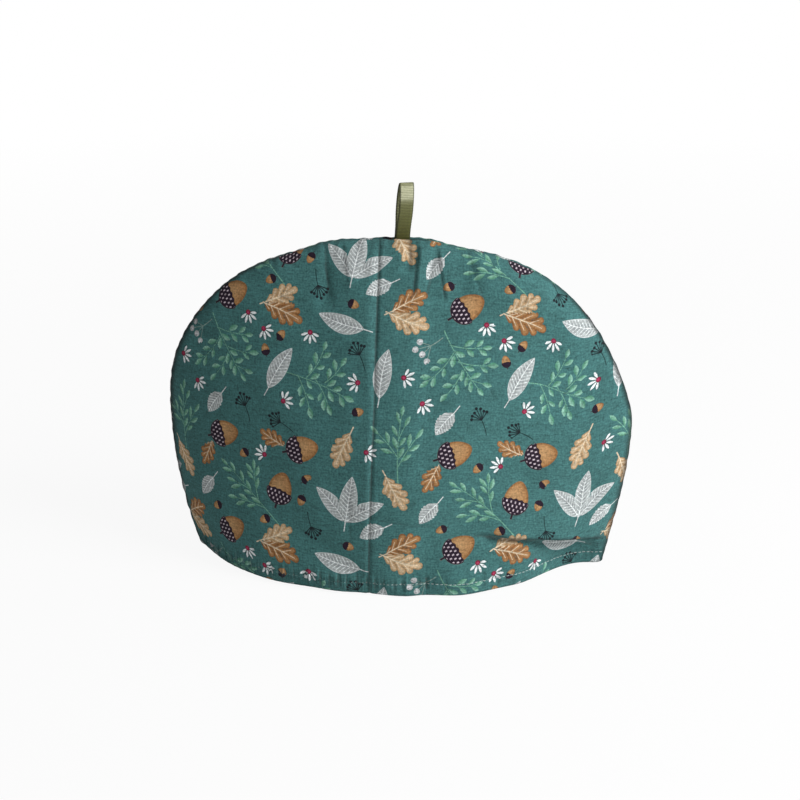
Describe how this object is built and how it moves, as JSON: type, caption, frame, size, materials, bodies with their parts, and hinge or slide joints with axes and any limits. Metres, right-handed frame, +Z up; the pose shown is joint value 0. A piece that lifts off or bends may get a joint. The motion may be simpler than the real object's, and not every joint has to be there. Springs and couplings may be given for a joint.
{
  "type": "tea cosy",
  "caption": "Padded cloth tea cosy with an arched seam, standing open on its hem, with a ribbon hanging loop at the top.",
  "frame": {"origin": "middle of the footprint, on the surface that the hem stands on", "axes": "+X along the seam's plane, across the width, to the right of someone facing the front panel; +Y from the front panel to the back panel; +Z up"},
  "size_m": [0.3432, 0.1489, 0.2868],
  "materials": {
    "printed_cotton": "matt, fine slubby plain weave, printed with small leaves, acorns and flowers",
    "grosgrain_ribbon": "ribbed, with a soft sheen"
  },
  "bodies": {
    "root": {"front_panel": "printed_cotton", "back_panel": "printed_cotton", "hanging_loop": "grosgrain_ribbon"}
  },
  "joints": []
}
